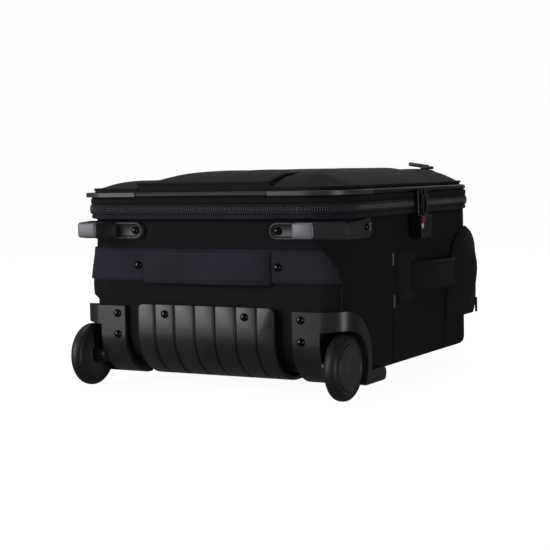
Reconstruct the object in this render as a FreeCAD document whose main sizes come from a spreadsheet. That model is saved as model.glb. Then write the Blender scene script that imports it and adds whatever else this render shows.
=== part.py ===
"""Pilot rolling flight case, lying on its back, as a parametric document of separate sub-parts.

Design axes, in millimetres: X runs across the case from its mid-plane, Y runs along the case from
the panel at the wheel end to the panel at the pull-handle end, and Z runs up from the floor that
the wheels and the rear rest stand on.  The lid is on top.  frame_x and frame_y move every sub-part
from these axes to the middle of the case's footprint.
"""
import FreeCAD, Part
import os
import re

SHEET_VALUES = {
    # the whole case
    "frame_x": -9.0, "frame_y": -188.3,
    "body_half": 180.0, "body_length": 405.0, "body_back": 24.0, "body_rim": 209.0,
    "plan_corner": 42.0, "heel_round": 46.0, "wall": 4.0, "gap": 0.35,
    # the rim bands, from the tub up to the lid
    "welt_out": 4.0, "welt_top": 215.0,
    "band_out": 6.0, "band_near": 13.0, "band_wall": 5.0, "zip_split": 221.0, "zip_top": 227.0,
    "flange_top": 235.0, "lid_top": 242.0, "piping_out": 7.5, "piping_wall": 5.0,
    # the pockets on the lid
    "pocket_edge": 92.0, "pocket_side": 173.0, "pocket_near": -6.0, "pocket_far": 401.0,
    "centre_crown": 265.0, "side_crown": 264.0, "slope_crown": 254.0, "pocket_corner": 38.0,
    "strip_out": 9.0, "strip_side": 66.0, "strip_low": 236.0, "strip_high": 241.5,
    # the skid plate and the wheel housings
    "skid_half": 94.6, "skid_front": 10.0, "skid_top": 106.0, "skid_low": 15.0, "skid_end": 95.0,
    "house_inner": 117.0, "house_out": 8.0, "house_front": 6.0, "house_top": 103.5,
    "house_low": 14.0, "fender_y": 4.0, "fender_z": 45.5, "fender_radius": 57.5,
    "tail_end": 98.0, "tail_top": 30.0, "tail_start": 30.0, "house_corner": 36.0, "fender_edge": 4.0,
    # the wheels
    "wheel_x": 176.5, "wheel_y": 6.6, "wheel_radius": 38.8, "wheel_half": 9.0,
    "well_radius": 42.0, "well_wall": 3.0, "well_inner": 152.5, "hub_radius": 31.9,
    "tyre_round": 7.0, "cap_radius": 27.0, "cap_proud": 1.2, "bearing_radius": 11.0,
    "bearing_width": 7.0, "axle_radius": 4.0, "axle_fit": 0.05, "axle_boss": 9.0,
    # the corner feet
    "foot_low": 184.0, "foot_high": 206.0, "foot_start": 88.0, "foot_side": 72.0,
    "foot_out": 6.0, "foot_reach": 38.0, "foot_round": 10.8,
    "pad_face_in": 136.0, "pad_face_out": 161.0, "pad_root_in": 128.0, "pad_root_out": 173.0,
    "pad_face_low": 190.0, "pad_root_low": 186.0,
    # the rivets
    "rivet_head": 4.9, "rivet_rise": 2.6, "rivet_shank": 2.2, "rivet_tip": 3.2,
    "skid_rivet_x": 55.7, "skid_rivet_z": 94.3, "house_rivet_x": 128.0,
    "house_rivet_high": 92.9, "house_rivet_low": 67.1, "foot_rivet_x": 99.5,
    "foot_rivet_z": 195.0, "web_rivet_x": 97.5, "web_rivet_z": 152.9,
    # the webbing and the carry handles
    "web_low": 134.0, "web_high": 173.0, "web_thick": 1.6, "web_right": 151.0, "web_wrap": 24.0,
    "loop_half": 88.0, "loop_low": 132.0, "loop_high": 170.0, "loop_rise": 9.6,
    "loop_thick": 2.4, "loop_foot": 9.0,
    "grab_near": 160.0, "grab_far": 314.0, "grab_low": 117.0, "grab_high": 151.0,
    "grab_rise": 26.0, "grab_thick": 3.5, "grab_foot": 13.0,
    # the pocket on the right side
    "bulge_near": 320.0, "bulge_far": 396.0, "bulge_low": 66.0, "bulge_high": 186.0,
    "bulge_out": 20.0, "bulge_round": 14.0,
    # the pull handle, from the outer tubes to the grip
    "tube_x": 80.0, "tube_wide": 24.0, "tube_deep": 15.0, "tube_low": 31.5, "tube_start": 40.0,
    "tube_end": 392.0, "stage_gap": 0.4, "tube_wall": 1.4, "tube_round": 1.5,
    "middle_start": 64.0, "middle_end": 398.0, "inner_start": 85.0,
    "lining_low": 52.5, "lining_thick": 1.6, "lining_half": 142.0,
    "bezel_half": 104.0, "bezel_end": 408.0, "bezel_floor": 396.0, "bezel_low": 28.0,
    "bezel_high": 52.0, "bezel_wall": 2.5,
    "grip_half": 96.0, "grip_near": 399.0, "grip_far": 412.0, "grip_low": 31.0, "grip_high": 49.0,
    "button_half": 15.0, "button_near": 400.5, "button_rise": 2.6, "button_room": 4.5,
    "button_low": 35.0, "button_high": 44.0,
    "rest_half": 100.0, "rest_start": 362.0, "rest_round": 8.0,
    "frame_low": 196.0, "frame_thick": 2.5,
    # the zip sliders and the padlock on the right side
    "slider_near_y": 194.5, "slider_far_y": 205.5, "slider_long": 10.0, "slider_tall": 11.0,
    "slider_thick": 2.4, "lug_z": 236.0, "lug_out": 3.4, "lug_half": 2.0, "pull_long": 22.0,
    "pull_wide": 5.0, "pull_thick": 1.5, "pull_barrel": 1.2, "pull_top": 231.0,
    "lock_near": 183.0, "lock_far": 217.0, "lock_low": 178.0, "lock_high": 207.0,
    "lock_deep": 13.0, "lock_round": 2.5, "shackle_radius": 1.7,
    "shackle_leg": 11.0, "dial_radius": 6.8, "dial_wide": 6.0,
    "dial_pitch": 8.0, "dial_z": 182.4,
    "top_pull_x": 118.0, "top_pull_y": 372.0,
}

doc = FreeCAD.newDocument("pilot_rolling_flight_case")
sheet = doc.addObject("Spreadsheet::Sheet", "Sizes")
for row, (alias, value) in enumerate(SHEET_VALUES.items(), start=1):
    sheet.set(f"A{row}", alias)
    sheet.set(f"B{row}", str(value))
    sheet.setAlias(f"B{row}", alias)
doc.recompute()

subparts = []


def cells(text):
    """An expression in the sheet's aliases, with each alias written as the sheet's own cell."""
    return re.sub(r"[a-z_]+", lambda word: f"Sizes.{word[0]}" if word[0] in SHEET_VALUES else word[0], text)


def place(obj, x="0", y="0", z="0"):
    """Bind an object's position to the sheet."""
    for axis, text in zip("xyz", (x, y, z)):
        obj.setExpression(f".Placement.Base.{axis}", cells(text))


def piece(label, obj):
    """Name a finished sub-part and move it from the design axes to the model's frame."""
    obj.Label = label
    place(obj, "frame_x", "frame_y")
    subparts.append(obj)
    return obj


def round_edges(body, choose, radius):
    """Round the edges that choose() picks on a body's last feature."""
    doc.recompute()
    base = body.Tip
    names = [f"Edge{i}" for i, edge in enumerate(base.Shape.Edges, start=1) if choose(edge)]
    feature = body.newObject("PartDesign::Fillet", body.Name + "_round")
    feature.Base = (base, names)
    feature.setExpression("Radius", cells(radius))
    doc.recompute()
    return feature


def block(name, span_x, span_y, span_z, *rounds):
    """A box between two limits on each axis, then its rounds, each (choose, radius)."""
    body = doc.addObject("PartDesign::Body", name)
    box = body.newObject("PartDesign::AdditiveBox", name + "_box")
    spans = (span_x, span_y, span_z)
    for side, (low, high) in zip(("Length", "Width", "Height"), spans):
        box.setExpression(side, cells(f"({high}) - ({low})"))
    place(box, *(low for low, _ in spans))
    for choose, radius in rounds:
        round_edges(body, choose, radius)
    return body


TURNS = {"x": FreeCAD.Rotation(FreeCAD.Vector(0, 1, 0), 90),
         "y": FreeCAD.Rotation(FreeCAD.Vector(1, 0, 0), -90),
         "z": FreeCAD.Rotation()}


def disc(name, axis, low, high, radius, first="0", second="0", rounding=None):
    """A cylinder along an axis between two limits; first and second place its other two axes."""
    body = doc.addObject("PartDesign::Body", name)
    cylinder = body.newObject("PartDesign::AdditiveCylinder", name + "_cylinder")
    cylinder.setExpression("Radius", cells(radius))
    cylinder.setExpression("Height", cells(f"({high}) - ({low})"))
    cylinder.Placement = FreeCAD.Placement(FreeCAD.Vector(), TURNS[axis])
    at = {"x": (low, first, second), "y": (first, low, second), "z": (first, second, low)}[axis]
    place(cylinder, *at)
    if rounding:
        round_edges(body, is_circle, rounding)
    return body


def cut(name, base, *tools):
    """Take tools away from base."""
    result = doc.addObject("Part::Cut", name)
    result.Base = base
    result.Tool = tools[0] if len(tools) == 1 else fuse(name + "_tools", *tools)
    return result


def fuse(name, *shapes):
    """Join shapes; ones that don't touch stay separate solids."""
    result = doc.addObject("Part::MultiFuse", name)
    result.Shapes = list(shapes)
    return result


def common(name, *shapes):
    """Keep what the shapes share."""
    result = doc.addObject("Part::MultiCommon", name)
    result.Shapes = list(shapes)
    return result


def mirror(name, source):
    """The same shape on the other side of the mid-plane."""
    result = doc.addObject("Part::Mirroring", name)
    result.Source = source
    result.Normal = FreeCAD.Vector(1, 0, 0)
    return result


def is_circle(edge):
    return isinstance(edge.Curve, Part.Circle) and edge.isClosed()


def runs(edge, axis):
    """Whether an edge is straight and runs along one axis."""
    size = edge.BoundBox
    lengths = {"x": size.XLength, "y": size.YLength, "z": size.ZLength}
    return lengths.pop(axis) > 1e-3 and max(lengths.values()) < 1e-6


def upright(edge):
    return runs(edge, "z")


def along_x(edge):
    return runs(edge, "x")


def along_y(edge):
    return runs(edge, "y")


def slab(name, out, near, low, high, corner):
    """A plate with round plan corners that stands proud of the tub by out, and by near at the end."""
    spans = ((f"-body_half - ({out})", f"body_half + {out}"), (f"-({near})", f"body_length + {out}"))
    return block(name, *spans, (low, high), (upright, corner))


def ring(name, out, near, wall, low, high):
    """An open band round the tub's plan."""
    corner = f"plan_corner + {out}"
    outer = slab(name + "_outer", out, near, low, high, corner)
    inner = slab(name + "_inner", f"{out} - {wall}", f"{near} - {wall}", low, high, f"{corner} - {wall}")
    return cut(name, outer, inner)


def rivet(name, x, z, face):
    """A rivet in the wheel-end panel: a low head on the face and a shank through to the tub."""
    head = doc.addObject("Part::Cone", name + "_head")
    head.setExpression("Radius1", cells("rivet_head"))
    head.setExpression("Radius2", cells("rivet_head * 0.6"))
    head.setExpression("Height", cells("rivet_rise"))
    head.Placement = FreeCAD.Placement(FreeCAD.Vector(), FreeCAD.Rotation(FreeCAD.Vector(1, 0, 0), 90))
    place(head, x, f"-({face})", z)
    return fuse(name, head, shank(name + "_shank", x, z, face))


def shank(name, x, z, face):
    return disc(name, "y", f"-({face})", "rivet_tip", "rivet_shank", x, z)


# ---------------------------------------------------------------- rivets and the holes they fill
RIVETS = {
    "skid_rivets": ("skid_front", [("skid_rivet_x", "skid_rivet_z"), ("-skid_rivet_x", "skid_rivet_z")]),
    "housing_rivets": ("house_front", [(f"{side}house_rivet_x", height) for side in ("", "-")
                                       for height in ("house_rivet_high", "house_rivet_low")]),
    "foot_rivets": ("foot_out", [("foot_rivet_x", "foot_rivet_z"), ("-foot_rivet_x", "foot_rivet_z")]),
    "webbing_rivets": ("web_thick", [("web_rivet_x", "web_rivet_z"), ("-web_rivet_x", "web_rivet_z")]),
}


def holes(name, group):
    """The shanks of one group of rivets, as a tool that drills their holes."""
    face, places = RIVETS[group]
    return fuse(name, *(shank(f"{name}_{i}", x, z, face) for i, (x, z) in enumerate(places)))


def rivet_group(group):
    face, places = RIVETS[group]
    piece(group, fuse(group, *(rivet(f"{group}_{i}", x, z, face) for i, (x, z) in enumerate(places))))


# ---------------------------------------------------------------- the tub
def tub_block(name, inset="0"):
    """The tub's outer form, or the same form moved in by inset."""
    return block(name, (f"-body_half + {inset}", f"body_half - {inset}"),
                 (inset, f"body_length - {inset}"), (f"body_back + {inset}", "body_rim"),
                 (heel_of_inset, f"heel_round - {inset}"), (upright, f"plan_corner - {inset}"))


def heel_of_inset(edge):
    return along_x(edge) and edge.BoundBox.YMin < 10 and edge.BoundBox.ZMin < 40


def wheel_rod(name, side, inner, outer, radius):
    """A cylinder on a wheel's axis between two distances from the mid-plane."""
    low, high = (inner, outer) if side > 0 else (f"-({outer})", f"-({inner})")
    return disc(name, "x", low, high, radius, "wheel_y", "wheel_radius")


def tube(name, side, start, end, inset):
    """A rectangular stage of the pull handle, moved in from the outer tube by inset."""
    centre = f"{side} * tube_x"
    return block(name, (f"{centre} - tube_wide / 2 + {inset}", f"{centre} + tube_wide / 2 - {inset}"),
                 (start, end), (f"tube_low + {inset}", f"tube_low + tube_deep - {inset}"),
                 (along_y, "tube_round"))


def make_tub():
    cavity = block("tub_cavity", ("-body_half + wall", "body_half - wall"), ("wall", "body_length - wall"),
                   ("body_back + wall", "body_rim + 1"), (heel_of_inset, "heel_round - wall"),
                   (upright, "plan_corner - wall"))
    wells = [wheel_rod(f"tub_well_{i}", side, "well_inner - well_wall", "body_half + 1",
                       "well_radius + well_wall") for i, side in enumerate((1, -1))]
    port = block("tub_port", ("-bezel_half", "bezel_half"), ("tube_end", "bezel_end"),
                 ("bezel_low", "bezel_high"))
    drilled = [holes(f"tub_{group}", group) for group in RIVETS]
    piece("body_shell", cut("body_shell", tub_block("tub_outer"), cavity, *wells, port, *drilled))
    piece("rim_frame", cut("rim_frame",
                           block("rim_frame_outer", ("-body_half + wall", "body_half - wall"),
                                 ("wall", "body_length - wall"), ("frame_low", "body_rim"),
                                 (upright, "plan_corner - wall")),
                           block("rim_frame_inner",
                                 ("-body_half + wall + frame_thick", "body_half - wall - frame_thick"),
                                 ("wall + frame_thick", "body_length - wall - frame_thick"),
                                 ("frame_low", "body_rim"), (upright, "plan_corner - wall - frame_thick"))))
    piece("rim_welt", ring("rim_welt", "welt_out", "band_near - 3", "welt_out + 2", "body_rim", "welt_top"))
    piece("zip_tape_lower", ring("zip_tape_lower", "band_out", "band_near", "band_wall", "welt_top",
                                 "zip_split - gap"))
    piece("floor_lining", block("floor_lining", ("-lining_half", "lining_half"),
                                ("heel_round", "body_length - wall"),
                                ("lining_low", "lining_low + lining_thick")))


# ---------------------------------------------------------------- the lid
def no_edge(edge):
    return False


def right_corner(edge):
    return upright(edge) and edge.BoundBox.XMin > 120


def left_corner(edge):
    return upright(edge) and edge.BoundBox.XMax < -120


def top_edge(edge):
    return edge.BoundBox.ZMin > 250


def make_lid():
    piece("zip_tape_upper", ring("zip_tape_upper", "band_out", "band_near", "band_wall", "zip_split + gap",
                                 "zip_top"))
    piece("lid_flange", ring("lid_flange", "band_out - 0.5", "band_near - 0.5", "band_wall", "zip_top",
                             "flange_top"))
    piece("border_piping", ring("border_piping", "piping_out", "band_near + 1", "piping_wall", "flange_top",
                                "lid_top"))
    piece("lid_panel", slab("lid_panel", "piping_out - piping_wall", "band_near + 1 - piping_wall",
                            "flange_top", "lid_top", "plan_corner + piping_out - piping_wall"))
    domes = {"centre_pocket": ("-pocket_edge", "pocket_edge - gap", "centre_crown", no_edge),
             "right_pocket": ("pocket_edge", "pocket_side", "side_crown", right_corner),
             "left_pocket": ("-pocket_side", "-pocket_edge - gap", "slope_crown", left_corner)}
    for label, (left, right, crown, corner) in domes.items():
        rounds = [] if corner is no_edge else [(corner, "pocket_corner")]
        rounds.append((top_edge, f"({crown} - lid_top) * 0.6"))
        piece(label, block(label, (left, right), ("pocket_near", "pocket_far"), ("lid_top", crown), *rounds))
    strips = cut("strip_band", slab("strip_outer", "strip_out", "band_near + strip_out - piping_out + 1",
                                    "strip_low", "strip_high", "plan_corner + strip_out"),
                 slab("strip_inner", "piping_out", "band_near + 1", "strip_low", "strip_high",
                      "plan_corner + piping_out"))
    sides = [block(f"strip_clip_{i}", limits, ("-2 * band_near", "strip_side"), ("strip_low", "strip_high"))
             for i, limits in enumerate((("pocket_edge", "2 * body_half"),
                                         ("-2 * body_half", "-pocket_edge")))]
    piece("corner_strips", common("corner_strips", strips, fuse("strip_clips", *sides)))


# ---------------------------------------------------------------- skid plate and wheel housings
def make_skid():
    plate = block("skid_block", ("-skid_half", "skid_half"), ("-skid_front", "skid_end"),
                  ("skid_low", "skid_top"),
                  (heel_of_plate, "heel_round + skid_front"))
    piece("skid_plate", cut("skid_plate", plate, tub_block("skid_tub"), holes("skid_holes", "skid_rivets")))


def heel_of_plate(edge):
    return along_x(edge) and edge.BoundBox.YMin < -1 and edge.BoundBox.ZMin < 30


def outer_front_corner(edge):
    return upright(edge) and edge.BoundBox.YMax < 0 and edge.BoundBox.XMin > 180


def housing_form():
    """The right wheel housing: a plate round the heel, a fender, a tail and the bucket of the well."""
    front = block("house_clip", ("house_inner", "body_half + house_out"), ("-house_front", "tail_end"),
                  ("house_low", "house_top"), (heel_of_plate, "heel_round + house_front"))
    plan = block("house_plan", ("house_inner", "body_half + house_out"), ("-house_front", "tail_end"),
                 ("house_low - 1", "house_top + 1"), (outer_front_corner, "house_corner"))
    fender = disc("house_fender", "x", "house_inner - 20", "body_half + house_out", "fender_radius",
                  "fender_y", "fender_z", "fender_edge")
    tail = block("house_tail", ("well_inner", "body_half + house_out"), ("tail_start", "tail_end"),
                 ("house_low", "tail_top"), (lambda edge: along_x(edge) and edge.BoundBox.YMin > 90, "7"))
    outside = cut("house_outside", common("house_form", front, plan, fuse("house_mass", fender, tail)),
                  tub_block("house_tub"))
    bucket = common("house_bucket", tub_block("house_bucket_tub"),
                    wheel_rod("house_bucket_rod", 1, "well_inner - well_wall", "body_half",
                              "well_radius + well_wall"))
    hollow = cut("house_hollow", fuse("house_whole", outside, bucket),
                 wheel_rod("house_well", 1, "well_inner", "body_half + house_out + 5", "well_radius"))
    boss = wheel_rod("house_boss", 1, "well_inner", "wheel_x - wheel_half - 0.5", "axle_boss")
    return cut("house_shape", fuse("house_with_boss", hollow, boss),
               wheel_rod("house_axle_hole", 1, "well_inner - 2 * well_wall", "wheel_x",
                         "axle_radius + axle_fit"))


def make_housings():
    right = housing_form()
    left = mirror("house_mirror", right)
    for label, shape in (("wheel_housing_right", right), ("wheel_housing_left", left)):
        piece(label, cut(label, shape, holes(label + "_holes", "housing_rivets")))


# ---------------------------------------------------------------- wheels
def make_wheels():
    inner_face = "wheel_x - wheel_half"
    outer_face = "wheel_x + wheel_half"
    for side, word in ((1, "right"), (-1, "left")):
        def rod(name, low, high, radius):
            return wheel_rod(f"{name}_{word}", side, low, high, radius)
        tyre = disc(f"tyre_form_{word}", "x", *((inner_face, outer_face) if side > 0 else
                    (f"-({outer_face})", f"-({inner_face})")), "wheel_radius", "wheel_y", "wheel_radius",
                    "tyre_round")
        core = rod("tyre_core", inner_face, outer_face, "hub_radius")
        piece(f"tyre_{word}", cut(f"tyre_{word}", tyre, core))
        seat = f"{inner_face} + 1"
        seat_end = f"{seat} + bearing_width"
        piece(f"hub_{word}", cut(f"hub_{word}", rod("hub_disc", seat, f"{outer_face} - 0.6", "hub_radius"),
                                 rod("hub_seat", seat, seat_end, "bearing_radius"),
                                 rod("hub_bore", seat, f"{outer_face} - 3", "axle_radius + 0.5")))
        piece(f"hub_cap_{word}", rod("hub_cap_form", f"{outer_face} - 0.6", f"{outer_face} + cap_proud",
                                     "cap_radius"))
        piece(f"bearing_{word}", cut(f"bearing_{word}", rod("bearing_ring", seat, seat_end, "bearing_radius"),
                                     rod("bearing_bore", seat, seat_end, "axle_radius + axle_fit")))
    pins = []
    for side, word in ((1, "right"), (-1, "left")):
        pins.append(wheel_rod(f"axle_pin_{word}", side, "well_inner - 2 * well_wall + axle_fit",
                              "wheel_x + wheel_half - 5", "axle_radius"))
    piece("axles", fuse("axles", *pins))


# ---------------------------------------------------------------- corner feet
def make_feet():
    strap = cut("foot_band", slab("foot_outer", "foot_out", "foot_out", "foot_low", "foot_high",
                                  "plan_corner + foot_out"), tub_block("foot_tub"))
    clip = block("foot_clip", ("foot_start", "body_half + 20"), ("-20", "foot_side"),
                 ("foot_low", "foot_high"),
                 (lambda edge: along_y(edge) and edge.BoundBox.XMax < 100, "foot_round"),
                 (lambda edge: along_x(edge) and edge.BoundBox.YMin > 60, "foot_round"))
    pad = doc.addObject("Part::Wedge", "foot_pad")
    wedge = {"Xmin": "pad_face_in", "Xmax": "pad_face_out", "X2min": "pad_root_in", "X2max": "pad_root_out",
             "Zmin": "pad_face_low", "Zmax": "foot_high", "Z2min": "pad_root_low", "Z2max": "foot_high",
             "Ymin": "-foot_reach", "Ymax": "-foot_out + 0.8"}
    for name, text in wedge.items():
        pad.setExpression(name, cells(text))
    solid = fuse("foot_solid", common("foot_strap", strap, clip),
                 cut("foot_pad_trim", pad, tub_block("pad_tub")))
    for label, shape in (("corner_foot_right", solid), ("corner_foot_left", mirror("foot_mirror", solid))):
        piece(label, cut(label, shape, holes(label + "_holes", "foot_rivets")))


# ---------------------------------------------------------------- webbing and carry handles
def make_handles():
    strip = cut("web_band", slab("web_outer", "web_thick", "web_thick", "web_low", "web_high",
                                 "plan_corner + web_thick"), tub_block("web_tub"))
    clip = block("web_clip", ("-2 * body_half", "web_right"), ("-20", "web_wrap"), ("web_low", "web_high"))
    piece("end_webbing", cut("end_webbing", common("web_strip", strip, clip),
                             holes("web_holes", "webbing_rivets")))
    loop = block("loop_block", ("-loop_half", "loop_half"), ("-loop_rise", "-web_thick"),
                 ("loop_low", "loop_high"),
                 (lambda edge: upright(edge) and edge.BoundBox.YMax < -5, "5"))
    space = block("loop_space", ("-loop_half + loop_foot", "loop_half - loop_foot"),
                  ("-loop_rise + loop_thick", "0"), ("loop_low - 1", "loop_high + 1"))
    piece("end_handle", cut("end_handle", loop, space))
    band = block("grab_block", ("body_half", "body_half + grab_rise"), ("grab_near", "grab_far"),
                 ("grab_low", "grab_high"), (lambda edge: upright(edge) and edge.BoundBox.XMin > 190, "20"))
    room = block("grab_space", ("body_half - 1", "body_half + grab_rise - grab_thick"),
                 ("grab_near + grab_foot", "grab_far - grab_foot"), ("grab_low - 1", "grab_high + 1"),
                 (lambda edge: upright(edge) and edge.BoundBox.XMin > 190, "12"))
    piece("side_handle", cut("side_handle", band, room))
    top = block("top_block", ("-loop_half", "loop_half"), ("body_length", "body_length + loop_rise"),
                ("loop_low", "loop_high"), (lambda edge: upright(edge) and edge.BoundBox.YMin > 408, "5"))
    gap = block("top_space", ("-loop_half + loop_foot", "loop_half - loop_foot"),
                ("body_length - 1", "body_length + loop_rise - loop_thick"),
                ("loop_low - 1", "loop_high + 1"))
    piece("top_handle", cut("top_handle", top, gap))
    piece("side_pocket", block("side_pocket", ("body_half", "body_half + bulge_out"),
                               ("bulge_near", "bulge_far"), ("bulge_low", "bulge_high"),
                               (lambda edge: edge.BoundBox.XMin > 190, "bulge_round")))


# ---------------------------------------------------------------- the pull handle
def make_pull_handle():
    outer, middle, inner = [], [], []
    stage = "(tube_wall + stage_gap)"
    for side, word in ((1, "right"), (-1, "left")):
        outer.append(cut(f"outer_tube_{word}",
                         tube(f"outer_form_{word}", side, "tube_start", "tube_end", "0"),
                         tube(f"outer_bore_{word}", side, "tube_start - 1", "tube_end + 1", "tube_wall")))
        middle.append(cut(f"middle_tube_{word}", tube(f"middle_form_{word}", side, "middle_start",
                                                      "middle_end", stage),
                          tube(f"middle_bore_{word}", side, "middle_start - 1", "middle_end + 1",
                               f"{stage} + tube_wall")))
        inner.append(tube(f"inner_tube_{word}", side, "inner_start", "grip_near", f"2 * {stage}"))
    piece("outer_tubes", fuse("outer_tubes", *outer))
    piece("middle_tubes", fuse("middle_tubes", *middle))
    piece("inner_tubes", fuse("inner_tubes", *inner))
    piece("tube_bracket", block("tube_bracket", ("-tube_x - tube_wide", "tube_x + tube_wide"),
                                ("tube_start - 12", "tube_start"), ("body_back + wall + 6", "lining_low")))
    slots = [tube(f"bezel_slot_{i}", side, "tube_end - 1", "bezel_end", "tube_wall")
             for i, side in enumerate((1, -1))]
    tray = block("bezel_tray", ("-bezel_half", "bezel_half"), ("tube_end", "bezel_end"),
                 ("bezel_low", "bezel_high"))
    recess = block("bezel_recess", ("-bezel_half + bezel_wall", "bezel_half - bezel_wall"),
                   ("bezel_floor", "bezel_end + 1"), ("bezel_low + bezel_wall", "bezel_high - bezel_wall"),
                   (along_y, "5"))
    piece("handle_bezel", cut("handle_bezel", tray, recess, *slots))
    button_room = block("button_room", ("-button_half - gap", "button_half + gap"),
                        ("button_near", "grip_far + 1"), ("button_low - gap", "button_high + gap"))
    grip = block("grip_block", ("-grip_half", "grip_half"), ("grip_near", "grip_far"),
                 ("grip_low", "grip_high"),
                 (along_y, "5"))
    piece("pull_grip", cut("pull_grip", grip, button_room))
    piece("grip_button", block("grip_button", ("-button_half", "button_half"),
                               ("button_near + button_room", "grip_far + button_rise"),
                               ("button_low", "button_high")))
    piece("rear_rest", block("rear_rest", ("-rest_half", "rest_half"), ("rest_start", "body_length"),
                             ("0", "body_back"), (upright, "rest_round")))


# ---------------------------------------------------------------- zip sliders and the padlock
def make_slider(word, centre):
    """A zip slider on the right side: a flat body on the teeth and a lug that the lock's shackle passes."""
    face = "body_half + band_out + gap"
    body = block(f"slider_form_{word}", (face, f"{face} + slider_thick"),
                 (f"{centre} - slider_long / 2", f"{centre} + slider_long / 2"),
                 ("zip_split - slider_tall / 2", "zip_split + slider_tall / 2"))
    arm = block(f"slider_arm_{word}",
                (f"{face} + piping_out - band_out + 0.4", f"{face} + slider_thick + 6.2"),
                (f"{centre} - lug_half", f"{centre} + lug_half"), ("zip_split", "lug_z + lug_out"))
    foot = block(f"slider_foot_{word}", (face, f"{face} + slider_thick + 6.2"),
                 (f"{centre} - lug_half", f"{centre} + lug_half"), ("zip_split - 2", "zip_split + 3"))
    eye = disc(f"slider_eye_{word}", "y", f"{centre} - lug_half - 1", f"{centre} + lug_half + 1",
               "shackle_radius + gap", SHACKLE_X, "lug_z")
    piece(f"slider_{word}", cut(f"slider_{word}", fuse(f"slider_join_{word}", body, arm, foot), eye))
    barrel_x = f"{face} + slider_thick + 6.55 + pull_barrel"
    tab = block(f"pull_tab_{word}", (f"{barrel_x} - pull_thick / 2", f"{barrel_x} + pull_thick / 2"),
                (f"{centre} - pull_wide / 2", f"{centre} + pull_wide / 2"),
                ("pull_top - pull_long", "pull_top - pull_barrel"),
                (lambda edge: runs(edge, "x") and edge.BoundBox.ZMax < 215, "2"))
    barrel = disc(f"pull_barrel_{word}", "y", f"{centre} - pull_wide / 2", f"{centre} + pull_wide / 2",
                  "pull_barrel", barrel_x, "pull_top - pull_barrel")
    piece(f"pull_{word}", fuse(f"pull_{word}", tab, barrel))


SHACKLE_X = "body_half + piping_out + 4.6"


def make_lock():
    make_slider("near", "slider_near_y")
    make_slider("far", "slider_far_y")
    middle = "(lock_near + lock_far) / 2"
    legs = [disc(f"shackle_leg_{i}", "z", "lock_high - 12", "lug_z + shackle_radius", "shackle_radius",
                 SHACKLE_X, f"{middle} {sign} shackle_leg") for i, sign in enumerate("-+")]
    bar = disc("shackle_bar", "y", f"{middle} - shackle_leg", f"{middle} + shackle_leg", "shackle_radius",
               SHACKLE_X, "lug_z")
    piece("lock_shackle", fuse("lock_shackle", *legs, bar))
    case = block("lock_block", (f"{SHACKLE_X} - lock_deep / 2", f"{SHACKLE_X} + lock_deep / 2"),
                 ("lock_near", "lock_far"), ("lock_low", "lock_high"), (along_x, "lock_round"))
    bores = [disc(f"lock_bore_{i}", "z", "lock_high - 12.5", "lock_high + 1", "shackle_radius + 0.05",
                  SHACKLE_X, f"{middle} {sign} shackle_leg") for i, sign in enumerate("-+")]
    dials, rooms = [], []
    for number in (-1, 0, 1):
        centre = f"{middle} + {number} * dial_pitch"
        rooms.append(disc(f"dial_room_{number + 2}", "y", f"{centre} - dial_wide / 2 - gap",
                          f"{centre} + dial_wide / 2 + gap", "dial_radius + gap", SHACKLE_X, "dial_z"))
        dials.append(disc(f"dial_{number + 2}", "y", f"{centre} - dial_wide / 2", f"{centre} + dial_wide / 2",
                          "dial_radius", SHACKLE_X, "dial_z"))
    piece("lock_body", cut("lock_body", case, *bores, *rooms))
    for number, dial in enumerate(dials, start=1):
        piece(f"lock_dial_{number}", dial)


# ---------------------------------------------------------------- small zip pulls
def make_small_pulls():
    piece("top_zip_pull", block("top_zip_pull", ("top_pull_x - 3", "top_pull_x + 3"),
                                ("top_pull_y - 11", "top_pull_y + 11"),
                                ("side_crown + gap", "side_crown + 3")))
    piece("side_zip_pull", block("side_zip_pull",
                                 ("body_half + bulge_out - 14", "body_half + bulge_out - 11"),
                                 ("bulge_far + gap", "bulge_far + 3"), ("bulge_low", "bulge_low + 20")))


make_tub()
make_lid()
make_skid()
make_housings()
make_wheels()
make_feet()
make_handles()
make_pull_handle()
make_lock()
make_small_pulls()
for group in RIVETS:
    rivet_group(group)
doc.recompute()

failed = [obj.Label for obj in doc.Objects if "Invalid" in obj.State or "Error" in obj.State]
if failed:
    raise RuntimeError(f"objects that failed: {failed}")
for obj in subparts:
    if obj.Shape.isNull() or not obj.Shape.isValid() or not obj.Shape.Solids:
        raise RuntimeError(f"{obj.Label} has no valid solid")

os.makedirs("parts", exist_ok=True)
for obj in subparts:
    obj.Shape.exportStep(f"parts/{obj.Label}.step")
    box = obj.Shape.BoundBox
    print(f"{obj.Label:22s} solids {len(obj.Shape.Solids)}  x {box.XMin:7.1f} {box.XMax:7.1f}  "
          f"y {box.YMin:7.1f} {box.YMax:7.1f}  z {box.ZMin:6.1f} {box.ZMax:6.1f}")
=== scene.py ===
"""The looks of a soft-sided rolling pilot case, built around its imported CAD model."""
import math

import bmesh
import bpy
import numpy as np
from mathutils import Matrix, Vector, noise


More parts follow.
